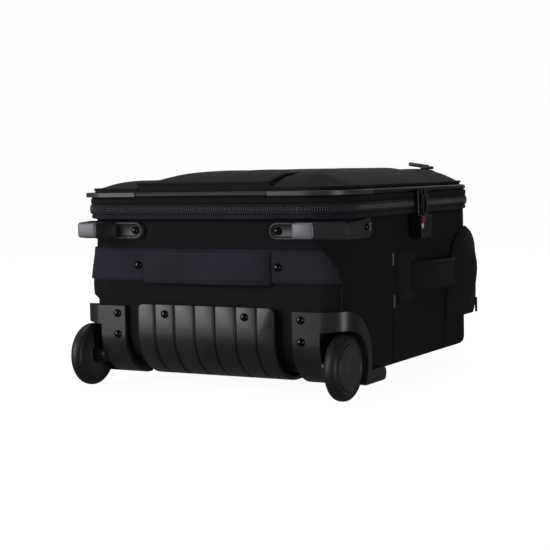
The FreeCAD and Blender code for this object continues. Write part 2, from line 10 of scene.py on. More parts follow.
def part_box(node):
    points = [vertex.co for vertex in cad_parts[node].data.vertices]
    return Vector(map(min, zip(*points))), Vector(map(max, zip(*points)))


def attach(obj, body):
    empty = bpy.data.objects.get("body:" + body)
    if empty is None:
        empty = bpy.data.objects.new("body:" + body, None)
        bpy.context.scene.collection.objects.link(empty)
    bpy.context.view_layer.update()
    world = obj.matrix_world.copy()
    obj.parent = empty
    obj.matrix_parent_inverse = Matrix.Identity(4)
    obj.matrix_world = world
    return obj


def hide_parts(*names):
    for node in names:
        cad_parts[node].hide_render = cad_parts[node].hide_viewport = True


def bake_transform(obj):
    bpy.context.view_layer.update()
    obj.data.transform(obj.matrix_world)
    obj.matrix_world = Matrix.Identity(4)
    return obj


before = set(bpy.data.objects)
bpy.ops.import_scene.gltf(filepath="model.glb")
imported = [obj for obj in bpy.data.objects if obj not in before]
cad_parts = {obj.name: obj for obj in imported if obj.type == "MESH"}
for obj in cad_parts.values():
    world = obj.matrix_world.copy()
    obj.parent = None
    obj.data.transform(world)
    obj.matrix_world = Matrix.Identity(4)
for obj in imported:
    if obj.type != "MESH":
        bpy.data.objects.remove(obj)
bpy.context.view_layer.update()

MM = 0.001

# ------------------------------------------------------------------ places on the case
TUB_LOW, TUB_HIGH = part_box("body_shell")
MID_X = (TUB_LOW.x + TUB_HIGH.x) / 2
HALF = (TUB_HIGH.x - TUB_LOW.x) / 2 / MM
LENGTH = (TUB_HIGH.y - TUB_LOW.y) / MM
BACK = TUB_LOW.z / MM
RIM = TUB_HIGH.z / MM
PLAN_CORNER = 42
WEB_WIDTH = 38.5
HEEL_ROUND = 46
WHEEL_X, AXLE_Y, WHEEL_RADIUS, WHEEL_HALF = 176.5, 6.6, 38.8, 9.0
WELL_X, WELL_RADIUS = 179, 45
HANDLE_PORT = (-104.5, 391, 27.5), (104.5, 420, 52.5)
TUB_WALL = 3.2


def at(x, y, z):
    """A point in the model's frame, from millimetres off the mid-plane, the wheel-end panel and the floor."""
    return Vector((MID_X + x * MM, TUB_LOW.y + y * MM, z * MM))


def case_axes(point):
    """The same three distances, in millimetres, of a point in the model's frame."""
    return (point.x - MID_X) / MM, (point.y - TUB_LOW.y) / MM, point.z / MM


# ------------------------------------------------------------------ materials
def linear(hex_colour, alpha=1.0):
    """An sRGB hex colour as linear RGBA."""
    parts = [int(hex_colour[i:i + 2], 16) / 255 for i in (0, 2, 4)]
    return tuple(c / 12.92 if c <= 0.04045 else ((c + 0.055) / 1.055) ** 2.4 for c in parts) + (alpha,)


def add(tree, kind, settings=None, **links):
    """Add a node; settings are attributes or socket values, links name an input and an output socket."""
    item = tree.nodes.new(kind)
    for key, value in (settings or {}).items():
        if hasattr(item, key):
            setattr(item, key, value)
        else:
            item.inputs[key].default_value = value
    for key, socket in links.items():
        tree.links.new(socket, item.inputs[key.replace("_", " ")])
    return item


def new_material(name, colour, roughness, **sockets):
    """A principled material and its tree, shader and object coordinates."""
    material = bpy.data.materials.new(name)
    material.use_nodes = True
    tree = material.node_tree
    shader = tree.nodes["Principled BSDF"]
    shader.inputs["Base Color"].default_value = linear(colour)
    shader.inputs["Roughness"].default_value = roughness
    for key, value in sockets.items():
        shader.inputs[key.replace("_", " ")].default_value = value
    place = add(tree, "ShaderNodeTexCoord").outputs["Object"]
    return material, tree, shader, place


def mottle(tree, shader, place, dark, light, size_mm, low, high):
    """Slow colour change from dark to light, and roughness from low to high, over patches of one size."""
    cloud = add(tree, "ShaderNodeTexNoise", {"Scale": 1000 / size_mm, "Detail": 4.0}, Vector=place)
    ramp = add(tree, "ShaderNodeMapRange", {"From Min": 0.35, "From Max": 0.65}, Value=cloud.outputs["Fac"])
    mix = add(tree, "ShaderNodeMix", {"data_type": "RGBA"})
    mix.inputs[6].default_value = linear(dark)
    mix.inputs[7].default_value = linear(light)
    tree.links.new(ramp.outputs["Result"], mix.inputs[0])
    tree.links.new(mix.outputs[2], shader.inputs["Base Color"])
    rough = add(tree, "ShaderNodeMapRange", {"To Min": low, "To Max": high}, Value=cloud.outputs["Fac"])
    tree.links.new(rough.outputs["Result"], shader.inputs["Roughness"])


def bump(tree, shader, height, strength, distance_mm):
    """Fine relief from a height value."""
    relief = add(tree, "ShaderNodeBump", {"Strength": strength, "Distance": distance_mm * MM}, Height=height)
    tree.links.new(relief.outputs["Normal"], shader.inputs["Normal"])


def weave(tree, place, spacing_mm):
    """A basket weave on all three pairs of axes: the sum of three crossed sine fields."""
    split = add(tree, "ShaderNodeSeparateXYZ", Vector=place)
    waves = []
    for axis in "XYZ":
        turn = add(tree, "ShaderNodeMath", {"operation": "MULTIPLY"})
        tree.links.new(split.outputs[axis], turn.inputs[0])
        turn.inputs[1].default_value = 2 * math.pi / (spacing_mm * MM)
        wave = add(tree, "ShaderNodeMath", {"operation": "SINE"})
        tree.links.new(turn.outputs[0], wave.inputs[0])
        waves.append(wave.outputs[0])
    pairs = []
    for first, second in ((0, 1), (1, 2), (0, 2)):
        pair = add(tree, "ShaderNodeMath", {"operation": "MULTIPLY"})
        tree.links.new(waves[first], pair.inputs[0])
        tree.links.new(waves[second], pair.inputs[1])
        pairs.append(pair.outputs[0])
    total = add(tree, "ShaderNodeMath", {"operation": "ADD"})
    tree.links.new(pairs[0], total.inputs[0])
    tree.links.new(pairs[1], total.inputs[1])
    final = add(tree, "ShaderNodeMath", {"operation": "ADD"})
    tree.links.new(total.outputs[0], final.inputs[0])
    tree.links.new(pairs[2], final.inputs[1])
    return final.outputs[0]


def fabric(name, dark, light, spacing_mm, relief_mm, sheen):
    """Woven nylon: crossed yarns catch a faint light and the cloth turns slightly pale at grazing angles."""
    material, tree, shader, place = new_material(name, dark, 0.8, Sheen_Weight=sheen, Sheen_Roughness=0.45,
                                                 Specular_IOR_Level=0.25)
    mottle(tree, shader, place, dark, light, 60, 0.72, 0.9)
    bump(tree, shader, weave(tree, place, spacing_mm), 0.5, relief_mm)
    return material


def moulded(name, dark, light, low, high, grain_mm=0.9, relief_mm=0.06, **sockets):
    """Injection-moulded plastic: a fine spark-eroded grain breaks the highlight up a little."""
    material, tree, shader, place = new_material(name, dark, low, **sockets)
    mottle(tree, shader, place, dark, light, 45, low, high)
    grain = add(tree, "ShaderNodeTexNoise", {"Scale": 1000 / grain_mm, "Detail": 3.0}, Vector=place)
    bump(tree, shader, grain.outputs["Fac"], 0.35, relief_mm)
    return material


# heavy woven nylon: nearly black and dull, a fine basket weave close up
BALLISTIC = fabric("ballistic_nylon", "17161a", "1d1c1f", 2.2, 0.16, 0.02)
# the same yarn in a lighter cloth, a shade paler where it is padded
POCKET_CLOTH = fabric("pocket_nylon", "1e1d20", "252427", 2.2, 0.16, 0.03)
# woven nylon webbing: coarse and slightly blue
WEBBING = fabric("woven_webbing", "2a2b36", "353642", 2.6, 0.35, 0.04)
# knitted zip tape: soft and a shade lighter than the tub
ZIP_CLOTH = fabric("knitted_zip_tape", "282830", "32323b", 1.8, 0.2, 0.04)
# polyester lining: smooth and grey
LINING = fabric("polyester_lining", "3a3a3f", "45454a", 2.0, 0.1, 0.05)
# cloth folded over cord: a dull line along a seam
SEAM = fabric("cloth_over_cord", "1c1b1e", "222124", 1.6, 0.15, 0.05)
# pale blue sewing thread, packed close
TACK = fabric("bartack_thread", "7f9fb4", "a9c0cf", 1.2, 0.1, 0.05)
# extruded vinyl: dark with a soft sheen along its top
PIPING = moulded("extruded_vinyl_piping", "1d1d20", "252529", 0.42, 0.54)
# moulded nylon teeth: small and paler than their tape
TEETH = moulded("moulded_zip_teeth", "4a4a51", "57575f", 0.34, 0.46)
# moulded nylon, finely grained: dark, with a clear soft highlight on its rounds
PLASTIC = moulded("moulded_nylon_plate", "28282c", "2f2f34", 0.27, 0.37)
# moulded nylon, smoother: a light line on each raised rim
FOOT_PLASTIC = moulded("moulded_foot", "303034", "3a3a3e", 0.3, 0.42)
# the same nylon where it is worn pale
PAD_FACE = moulded("worn_foot_face", "7e7e86", "8a8a92", 0.26, 0.36)
# moulded nylon strip: mid grey and satin
STRIP = moulded("moulded_corner_strip", "424247", "4c4c52", 0.32, 0.42)
# moulded nylon hub: satin, its rings catching light
HUB = moulded("moulded_hub", "36363a", "3e3e43", 0.34, 0.45)
# polyurethane: dark and a little soft in its highlight
TYRE = moulded("polyurethane_tyre", "1b1b1d", "232325", 0.42, 0.55, 0.7, 0.08)
# black lacquer on steel: a small sharp highlight
RIVET = moulded("black_lacquered_rivet", "020203", "050507", 0.05, 0.09, 1.5, 0.005)
# black lacquer on cast zinc: satin with light edges
ZINC = moulded("black_lacquered_zinc", "131315", "1a1a1d", 0.28, 0.4, 1.2, 0.02)
# anodised aluminium: satin grey metal
TUBE = moulded("anodised_aluminium_tube", "55565a", "606166", 0.3, 0.4, 0.8, 0.02, Metallic=1.0)
# plated steel: bright metal
STEEL = moulded("plated_steel", "77787c", "85868a", 0.22, 0.32, 0.8, 0.02, Metallic=1.0)
# moulded number wheels, left plain
DIAL = moulded("moulded_number_wheel", "2a2a2e", "333338", 0.4, 0.5)
# red enamel: even and glossy
RED = moulded("red_enamel", "c4141c", "d41c24", 0.25, 0.3)
# white print, partly the badge's own white and partly a painted glint, sized and whitened to the glint: even and
# satin
WHITE = moulded("white_print_and_painted_glint", "f2f2f2", "fafafa", 0.4, 0.5)


# ------------------------------------------------------------------ making pieces
def finish_piece(name, bm, body, material, replaces=(), smooth=40, modifiers=()):
    """Turn a bmesh into a piece that rides on a body; smooth is the angle past which an edge stays sharp."""
    mesh = bpy.data.meshes.new(name)
    bm.to_mesh(mesh)
    bm.free()
    for polygon in mesh.polygons:
        polygon.use_smooth = True
    obj = bpy.data.objects.new(name, mesh)
    bpy.context.scene.collection.objects.link(obj)
    for entry in material if isinstance(material, (list, tuple)) else (material,):
        mesh.materials.append(entry)
    for kind, settings in modifiers:
        modifier = obj.modifiers.new(kind.lower(), kind)
        for key, value in settings.items():
            setattr(modifier, key, value)
    mesh.set_sharp_from_angle(angle=math.radians(smooth))
    if body:
        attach(obj, body)
    if replaces:
        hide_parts(*replaces)
    return obj


def box_mesh(low, high):
    """A bmesh box between two points given on the case's axes."""
    bm = bmesh.new()
    bmesh.ops.create_cube(bm, size=1)
    low, high = at(*low), at(*high)
    place = Matrix.Translation((low + high) / 2) @ Matrix.Diagonal((high - low).to_4d())
    bmesh.ops.transform(bm, verts=bm.verts, matrix=place)
    return bm


def bevel(bm, edges, width_mm, segments=3):
    """Round a set of edges."""
    bmesh.ops.bevel(bm, geom=list(edges), offset=width_mm * MM, segments=segments, profile=0.5,
                    affect="EDGES", material=-1, clamp_overlap=True)


def edges_where(bm, test):
    """The edges whose two ends, on the case's axes, both pass a test."""
    return [edge for edge in bm.edges if all(test(*case_axes(v.co)) for v in edge.verts)]


def along(edge, axis):
    """Whether an edge runs along one axis."""
    run = edge.verts[1].co - edge.verts[0].co
    return abs(run[axis]) > 0.999 * run.length


def slice_up(bm, axis, low, high, step):
    """Cut a mesh across one axis, about every step millimetres."""
    normal = Vector([float(i == axis) for i in range(3)])
    count = max(1, round((high - low) / step))
    for i in range(1, count):
        value = low + (high - low) * i / count
        point = at(value, value, value)
        bmesh.ops.bisect_plane(bm, geom=bm.verts[:] + bm.edges[:] + bm.faces[:], plane_co=point, plane_no=normal,
                               dist=1e-6)


def weld(bm, distance_mm=0.01):
    """Join points that lie together and turn every face outwards."""
    bmesh.ops.remove_doubles(bm, verts=bm.verts, dist=distance_mm * MM)
    bmesh.ops.recalc_face_normals(bm, faces=bm.faces)


def rim_sweep(profile, out, near, corner):
    """Carry a closed profile, as (outward, height) pairs, round the case's plan at an offset from the tub."""
    run_steps, turn_steps = 24, 10
    bm = bmesh.new()
    side, far, start = HALF + out, LENGTH + out, -near
    ring = [bm.verts.new(at(side + o, start + corner, z)) for o, z in profile]
    edges = [bm.edges.new((ring[i], ring[(i + 1) % len(ring)])) for i in range(len(ring))]
    runs = ((0, far - start - 2 * corner), (-(2 * side - 2 * corner), 0), (0, -(far - start - 2 * corner)),
            (2 * side - 2 * corner, 0))
    centres = ((side - corner, far - corner), (corner - side, far - corner), (corner - side, start + corner),
               (side - corner, start + corner))
    for (dx, dy), (cx, cy) in zip(runs, centres):
        for _ in range(run_steps):
            made = bmesh.ops.extrude_edge_only(bm, edges=edges)["geom"]
            moved = [g for g in made if isinstance(g, bmesh.types.BMVert)]
            bmesh.ops.translate(bm, verts=moved, vec=Vector((dx, dy, 0)) * MM / run_steps)
            edges = [g for g in made if isinstance(g, bmesh.types.BMEdge)]
        made = bmesh.ops.spin(bm, geom=edges, cent=at(cx, cy, 0), axis=(0, 0, 1), dvec=(0, 0, 0),
                              angle=math.pi / 2, steps=turn_steps, use_merge=False, use_duplicate=False)
        edges = [g for g in made["geom_last"] if isinstance(g, bmesh.types.BMEdge)]
    weld(bm, 0.02)
    return bm


def round_profile(outward, z, radius, count):
    """A circle as a closed (outward, height) profile."""
    return [(outward + radius * math.cos(2 * math.pi * i / count), z + radius * math.sin(2 * math.pi * i / count))
            for i in range(count)]


def rim_path(out, near, corner, step):
    """Evenly spaced (x, y, outward x, outward y) round the case's plan."""
    side, far, start = HALF + out, LENGTH + out, -near
    along_side, across_end = far - start - 2 * corner, 2 * (side - corner)
    runs = [(side, start + corner, 0, 1, along_side), (side - corner, far, -1, 0, across_end),
            (-side, far - corner, 0, -1, along_side), (corner - side, start, 1, 0, across_end)]
    centres = ((side - corner, far - corner), (corner - side, far - corner), (corner - side, start + corner),
               (side - corner, start + corner))
    points = []
    for number, ((x, y, dx, dy, run), (cx, cy)) in enumerate(zip(runs, centres)):
        for i in range(round(run / step)):
            t = i * step
            points.append((x + dx * t, y + dy * t, dy, -dx))
        arc = corner * math.pi / 2
        for i in range(round(arc / step)):
            angle = math.pi / 2 * (number + i * step / arc)
            points.append((cx + corner * math.cos(angle), cy + corner * math.sin(angle), math.cos(angle),
                           math.sin(angle)))
    return points


def tube_mesh(points, radius_mm, closed=False):
    """A round cord through points of the model's frame, as a bmesh."""
    curve = bpy.data.curves.new("cord", "CURVE")
    curve.dimensions = "3D"
    curve.bevel_depth = radius_mm * MM
    curve.bevel_resolution = 3
    curve.use_fill_caps = True
    spline = curve.splines.new("POLY")
    spline.points.add(len(points) - 1)
    for slot, point in zip(spline.points, points):
        slot.co = (*point, 1)
    spline.use_cyclic_u = closed
    holder = bpy.data.objects.new("cord", curve)
    bpy.context.scene.collection.objects.link(holder)
    bpy.context.view_layer.update()
    mesh = bpy.data.meshes.new_from_object(holder.evaluated_get(bpy.context.evaluated_depsgraph_get()))
    bm = bmesh.new()
    bm.from_mesh(mesh)
    bpy.data.objects.remove(holder)
    bpy.data.curves.remove(curve)
    bpy.data.meshes.remove(mesh)
    weld(bm)
    return bm


def join(*parts):
    """One bmesh from several."""
    whole = bmesh.new()
    for part in parts:
        mesh = bpy.data.meshes.new("part")
        part.to_mesh(mesh)
        part.free()
        whole.from_mesh(mesh)
        bpy.data.meshes.remove(mesh)
    return whole


def ball(around, up, size):
    """An ellipsoid at the origin; size gives its three half-lengths in millimetres."""
    bm = bmesh.new()
    bmesh.ops.create_uvsphere(bm, u_segments=around, v_segments=up, radius=1)
    bmesh.ops.scale(bm, vec=Vector(size) * MM, verts=bm.verts)
    return bm


def scatter(shape, places):
    """One bmesh holding a copy of a small shape at each matrix."""
    corners = np.array([v.co[:] for v in shape.verts])
    faces = [[v.index for v in f.verts] for f in shape.faces]
    shape.free()
    points, loops = [], []
    for number, place in enumerate(places):
        turn, shift = np.array(place.to_3x3()), np.array(place.translation)
        points.extend((corners @ turn.T + shift).tolist())
        loops.extend([[i + number * len(corners) for i in face] for face in faces])
    mesh = bpy.data.meshes.new("scatter")
    mesh.from_pydata(points, [], loops)
    bm = bmesh.new()
    bm.from_mesh(mesh)
    bpy.data.meshes.remove(mesh)
    return bm


def softened(node, name, material, body, width_mm, segments=2):
    """A CAD piece with its sharp edges eased, standing for the CAD node."""
    bm = bmesh.new()
    bm.from_mesh(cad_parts[node].data)
    bmesh.ops.remove_doubles(bm, verts=bm.verts, dist=0.02 * MM)
    bmesh.ops.dissolve_limit(bm, angle_limit=math.radians(2), verts=bm.verts, edges=bm.edges)
    finish_piece(name, bm, body, material, (node,), 35, [
        ("BEVEL", {"width": width_mm * MM, "segments": segments, "limit_method": "ANGLE",
                   "angle_limit": math.radians(35), "harden_normals": False})])


def flow(x, y, z, size_mm, amount_mm, seed=0):
    """A smooth fixed disturbance, in millimetres, that a fabric face shows over a given size."""
    return amount_mm * noise.noise(Vector((x, y, z)) / size_mm + Vector((seed * 7.3, seed * 3.1, seed)))


# ------------------------------------------------------------------ camera, light and floor
CAMERA_PLACE = (887.5, -1427.6, 265.1)
CAMERA_YAW, CAMERA_PITCH, CAMERA_ROLL = math.radians(29.11), math.radians(4.24), math.radians(-1.09)
FOCAL_IN_FRAMES = 1410 / 550
ROOM_LIGHT = 0.1
SOFTBOXES = {"left_softbox": ((-1450, -1650, 560), (1200, 1300), 22),
             "right_softbox": ((1960, -740, 90), (460, 560), 7.5),
             "top_softbox": ((-300, 500, 1900), (1400, 900), 11),
             "back_softbox": ((-500, 2400, 600), (1600, 1200), 8)}


def make_camera():
    """The camera that frames the case from its wheel end."""
    data = bpy.data.cameras.new("camera")
    data.sensor_width = 36
    data.lens = FOCAL_IN_FRAMES * data.sensor_width
    camera = bpy.data.objects.new("camera", data)
    bpy.context.scene.collection.objects.link(camera)
    right = Vector((math.cos(CAMERA_YAW), math.sin(CAMERA_YAW), 0))
    look = Vector((-math.sin(CAMERA_YAW) * math.cos(CAMERA_PITCH), math.cos(CAMERA_YAW) * math.cos(CAMERA_PITCH),
                   -math.sin(CAMERA_PITCH)))
    up = right.cross(look)
    tilted = math.cos(CAMERA_ROLL) * right + math.sin(CAMERA_ROLL) * up
    up = tilted.cross(look)
    turn = Matrix((tilted, up, -look)).transposed().to_4x4()
    camera.matrix_world = Matrix.Translation(at(*CAMERA_PLACE)) @ turn
    data.clip_end = 50
    bpy.context.scene.camera = camera


def area_light(name, place, target, size_mm, watts):
    """A soft rectangular light turned towards a point of the case."""
    data = bpy.data.lights.new(name, "AREA")
    data.shape = "RECTANGLE"
    data.size, data.size_y = (s * MM for s in size_mm)
    data.energy = watts
    light = bpy.data.objects.new(name, data)
    bpy.context.scene.collection.objects.link(light)
    light.location = at(*place)
    light.rotation_euler = (at(*target) - at(*place)).to_track_quat("-Z", "Y").to_euler()


def make_studio():
    """A pale floor and backdrop that only the camera sees, so that the case is lit by the softboxes alone."""
    bpy.context.scene.view_settings.view_transform = "Standard"
    world = bpy.data.worlds.new("studio")
    bpy.context.scene.world = world
    world.use_nodes = True
    background = world.node_tree.nodes["Background"]
    background.inputs["Color"].default_value = (1, 0.96, 0.98, 1)
    background.inputs["Strength"].default_value = ROOM_LIGHT
    paper, _, shader, _ = new_material("white_paper", "ffffff", 0.9, Specular_IOR_Level=0.0)
    shader.inputs["Base Color"].default_value = (0.3, 0.3, 0.3, 1)
    shader.inputs["Emission Color"].default_value = (1, 1, 1, 1)
    shader.inputs["Emission Strength"].default_value = 0.96
    for name in ("floor", "backdrop"):
        bm = bmesh.new()
        if name == "floor":
            bmesh.ops.create_grid(bm, x_segments=1, y_segments=1, size=19)
        else:
            bmesh.ops.create_icosphere(bm, subdivisions=3, radius=20)
        mesh = bpy.data.meshes.new(name)
        bm.to_mesh(mesh)
        bm.free()
        mesh.materials.append(paper)
        screen = bpy.data.objects.new(name, mesh)
        bpy.context.scene.collection.objects.link(screen)
        screen.visible_diffuse = screen.visible_glossy = screen.visible_shadow = False
    for name, (place, size, watts) in SOFTBOXES.items():
        area_light(name, place, (0, 100, 140), size, watts)


# ------------------------------------------------------------------ the tub
def plan_place(s, out, side=1):
    """The point and outward direction at a distance s along the tub's plan from the middle of the wheel end."""
    turn = max(0.0, min(math.pi / 2, (s - HALF + PLAN_CORNER) / PLAN_CORNER))
    straight = max(0.0, s - HALF + PLAN_CORNER - PLAN_CORNER * math.pi / 2)
    x = min(s, HALF - PLAN_CORNER) + (PLAN_CORNER + out) * math.sin(turn)
    y = PLAN_CORNER + straight - (PLAN_CORNER + out) * math.cos(turn)
    return side * x, y, side * math.sin(turn), -math.cos(turn)


def sag(x, y, z):
    """How far, in millimetres, the cloth bellies out round the left-hand corner."""
    if z < 108:
        return 0
    return 9 * max(0, -x / HALF) ** 5 * math.exp(-((z - 128) / 34) ** 2) * max(0, 1 - y / 150)


def make_tub():
    """The fabric tub: rounded plan corners and heel, panels that belly a little, wells and handle port cut."""
    bm = box_mesh((-HALF, 0, BACK), (HALF, LENGTH, RIM))
    bevel(bm, [e for e in bm.edges if along(e, 2)], PLAN_CORNER, 12)
    bevel(bm, [e for e in bm.edges if all(case_axes(v.co)[2] < BACK + 1 for v in e.verts)], 9, 3)
    slice_up(bm, 0, -HALF, HALF, 9)
    slice_up(bm, 1, 0, LENGTH, 8)
    slice_up(bm, 2, BACK, RIM, 6)
    weld(bm)
    lid_side = [f for f in bm.faces if f.normal.z > 0.9 and case_axes(f.calc_center_median())[2] > RIM - 1]
    bmesh.ops.delete(bm, geom=lid_side, context="FACES")
    for vert in bm.verts:
        x, y, z = case_axes(vert.co)
        u, v = 1 - y / HEEL_ROUND, 1 - (z - BACK) / HEEL_ROUND
        if u > 0 and v > 0:
            shrink = max(u, v) / math.hypot(u, v)
            vert.co = at(x, HEEL_ROUND * (1 - u * shrink), BACK + HEEL_ROUND * (1 - v * shrink))
    bm.normal_update()
    for vert in bm.verts:
        x, y, z = case_axes(vert.co)
        height = max(0.0, min(1.0, (z - BACK) / (RIM - BACK)))
        belly = math.sin(math.pi * height)
        side = abs(vert.normal.x) * math.sin(math.pi * max(0, min(1, (y - 20) / (LENGTH - 40))))
        end = abs(vert.normal.y) * math.cos(math.pi / 2 * min(1, abs(x) / HALF))
        push = belly * (1.2 * side + 0.5 * end) + flow(x, y, z, 60, 1.3, 1) * belly
        if 28 < z < 112 and y < 20:
            push = min(push, 0)
        vert.co += vert.normal * (push + sag(x, y, z)) * MM
    shell = finish_piece("tub_fabric", bm, "case", [BALLISTIC, LINING], ("body_shell",), 60)
    cutters = [box_mesh(*HANDLE_PORT)]
    for side in (1, -1):
        bm = bmesh.new()
        bmesh.ops.create_cone(bm, cap_ends=True, segments=48, radius1=WELL_RADIUS * MM, radius2=WELL_RADIUS * MM,
                              depth=60 * MM)
        place = Matrix.Translation(at(side * WELL_X, AXLE_Y, WHEEL_RADIUS))
        bmesh.ops.transform(bm, verts=bm.verts, matrix=place @ Matrix.Rotation(math.pi / 2, 4, "Y"))
        cutters.append(bm)
    mesh = bpy.data.meshes.new("cutter")
    join(*cutters).to_mesh(mesh)
    cutter = bpy.data.objects.new("cutter", mesh)
    bpy.context.scene.collection.objects.link(cutter)
    solid = shell.modifiers.new("thickness", "SOLIDIFY")
    solid.thickness = TUB_WALL * MM
    solid.offset = -1
    solid.material_offset = 1
    hole = shell.modifiers.new("holes", "BOOLEAN")
    hole.operation = "DIFFERENCE"
    hole.object = cutter
    hole.solver = "FAST"
    apply_modifiers(shell)
    bpy.data.objects.remove(cutter)


def surface_cord(name, run, radius, out=0.0):
    """A thin sewn line on the tub; run is (s, z) pairs along the plan, or (x, y, z) points."""
    points = [at(*plan_place(p[0], out)[:2], p[1]) if len(p) == 2 else at(*p) for p in run]
    smooth = []
    for i in range(len(points) - 1):
        before, first, second, after = (points[max(0, min(len(points) - 1, i + k))] for k in (-1, 0, 1, 2))
        for j in range(8):
            t = j / 8
            square = 2 * before - 5 * first + 4 * second - after
            cube = 3 * first - before - 3 * second + after
            smooth.append(0.5 * (2 * first + t * (second - before) + t * t * square + t ** 3 * cube))
    smooth.append(points[-1])
    finish_piece(name, tube_mesh(smooth, radius), "case", SEAM, (), 80)


def make_seams():
    """Piping round the right-hand corner, sewn lines on the right side and the two bartacks."""
    corner = [(148, 176), (153.5, 173.6), (162.5, 165.5), (170.5, 153.8), (174.5, 138.7), (175.5, 121.4),
              (175, 100)]
    surface_cord("corner_piping", corner, 1.5, 0.6)
    surface_cord("side_seam_near", [(181.2, 136, z) for z in (92, 70, 48, 32)], 0.7)
    surface_cord("side_seam_far", [(181.2, 298, z) for z in (106, 80, 52, 30)], 0.8)
    for name, y, low in (("bartack_high", 135, 147.5), ("bartack_low", 137.3, 96)):
        parts = []
        for i in range(22):
            parts.append(box_mesh((181.3, y - 0.9, low + 0.68 * i), (182.6, y + 0.9, low + 0.68 * i + 0.5)))
        finish_piece(name, join(*parts), "case", TACK, (), 40)


def apply_modifiers(obj):
    """Replace a piece's mesh with what its modifiers make of it."""
    bpy.context.view_layer.update()
    mesh = bpy.data.meshes.new_from_object(obj.evaluated_get(bpy.context.evaluated_depsgraph_get()))
    obj.modifiers.clear()
    old = obj.data
    obj.data = mesh
    bpy.data.meshes.remove(old)


# ------------------------------------------------------------------ rim bands and the zip
def make_rim():
    """The sewn bands round the mouth: welt, both zip tapes, flange and border, and the two rows of teeth."""
    welt = [(0, 209), (2.4, 209.4), (3.4, 212), (2.4, 214.6), (0, 215), (-3, 215), (-3, 209)]
    finish_piece("rim_welt_cover", rim_sweep(welt, 2, 8, 50), "case", ZIP_CLOTH, ("rim_welt",))
    lower = [(0, 215.2), (1.0, 215.6), (0.6, 219.2), (-0.6, 220.6), (-4.4, 220.6), (-4.4, 215.2)]
    finish_piece("zip_tape_tub", rim_sweep(lower, 5.4, 12.4, 54), "case", ZIP_CLOTH,
                 ("zip_tape_lower",))
    upper = [(-0.6, 221.4), (0.6, 222.8), (1.0, 226.4), (0, 227), (-4.4, 227), (-4.4, 221.4)]
    finish_piece("zip_tape_lid", rim_sweep(upper, 5.4, 12.4, 54), "lid", ZIP_CLOTH,
                 ("zip_tape_upper",))
    flange = [(0, 227), (1.4, 228.2), (1.8, 231), (1.2, 234), (0, 235), (-4.6, 235), (-4.6, 227)]
    finish_piece("lid_band", rim_sweep(flange, 4.4, 11.4, 54), "lid", BALLISTIC, ("lid_flange",))
    border = round_profile(-2.6, 238.4, 3.2, 12)
    finish_piece("lid_border_piping", rim_sweep(border, 4.9, 13.8, 54), "lid", PIPING,
                 ("border_piping",), 80)
    for name, body, z, lean in (("zip_teeth_tub", "case", 219.2, 0.6), ("zip_teeth_lid", "lid", 222.7, -0.6)):
        places = []
        for x, y, nx, ny in rim_path(6.1, 13.1, 54.7, 2.9):
            places.append(Matrix.Translation(at(x, y, z + lean)) @ Matrix.Rotation(math.atan2(ny, nx), 4, "Z"))
        finish_piece(name, scatter(ball(6, 4, (1.3, 0.85, 2.6)), places), body, TEETH, (), 80)


# ------------------------------------------------------------------ lid and pockets
def make_lid():
    """The lid's flat panel, lined below."""
    bm = box_mesh((-HALF - 2.5, -9, 235.2), (HALF + 2.5, LENGTH + 2.5, 241))
    bevel(bm, [e for e in bm.edges if along(e, 2)], 54, 9)
    bm.normal_update()
    for part in bm.faces:
        part.material_index = int(part.normal.z < -0.5)
    finish_piece("lid_top_cloth", bm, "lid", [BALLISTIC, LINING], ("lid_panel",))


def swell(distance, reach, least=0.0):
    """How far a padded panel has risen at a distance in from its edge, as a share that starts at least."""
    return least + (1 - least) * (1 - (1 - min(distance / reach, 1)) ** 2.2)


def pocket(name, node, left, right, shoulder, crown, corners, reach, least, cloth):
    """A padded pocket on the lid, with upright sides to a shoulder and a domed top.

    reach and least say how the top rises from its left, right and end edges; corners is the side that is rounded.
    """
    near, far, base, turn = -7, 402, 241, 40
    bm = box_mesh((left, near, base), (right, far, shoulder))
    if corners:
        bevel(bm, [e for e in bm.edges if along(e, 2) and corners * case_axes(e.verts[0].co)[0] > 110], turn, 8)
    slice_up(bm, 0, left, right, 6)
    slice_up(bm, 1, near, far, 8)
    weld(bm)
    for vert in bm.verts:
        x, y, z = case_axes(vert.co)
        if z < shoulder - 1:
            continue
        distances = [x - left, right - x, min(y - near, 2.2 * (far - y))]
        if corners:
            cx, cy = (right - turn if corners > 0 else left + turn), (near + turn if y < 200 else far - turn)
            ox, oy = corners * (x - cx), abs(y - cy) * (1 if (y < cy) == (y < 200) else -1)
            if ox > 0 and oy > 0:
                distances[int(corners > 0)] = distances[2] = max(0, turn - math.hypot(ox, oy))
        rise = math.prod(swell(*three) for three in zip(distances, reach, least))
        vert.co.z += ((crown - shoulder) * rise + flow(x, y, z, 46, 0.8, 2) * rise) * MM
    bm.normal_update()
    top = [e for e in bm.edges if len(e.link_faces) == 2 and e.calc_face_angle() > 0.6
           and min(case_axes(v.co)[2] for v in e.verts) > shoulder - 0.5]
    rim = loop_points(top)
    bevel(bm, top, 2.6, 3)
    finish_piece(name, bm, "lid", cloth, (node,), 70)
    cord = tube_mesh([p + Vector((0, 0, -0.6 * MM)) for p in rim], 1.5, True)
    finish_piece(name + "_piping", cord, "lid", SEAM, (), 80)


def loop_points(edges):
    """The points of one closed loop of edges, in order."""
    linked = {}
    for edge in edges:
        for vert in edge.verts:
            linked.setdefault(vert, []).append(edge)
    start = edges[0].verts[0]
    vert, edge, points = start, edges[0], [start.co.copy()]
    while True:
        vert = edge.other_vert(vert)
        if vert == start:
            return points
        points.append(vert.co.copy())
        edge = next(e for e in linked[vert] if e is not edge)


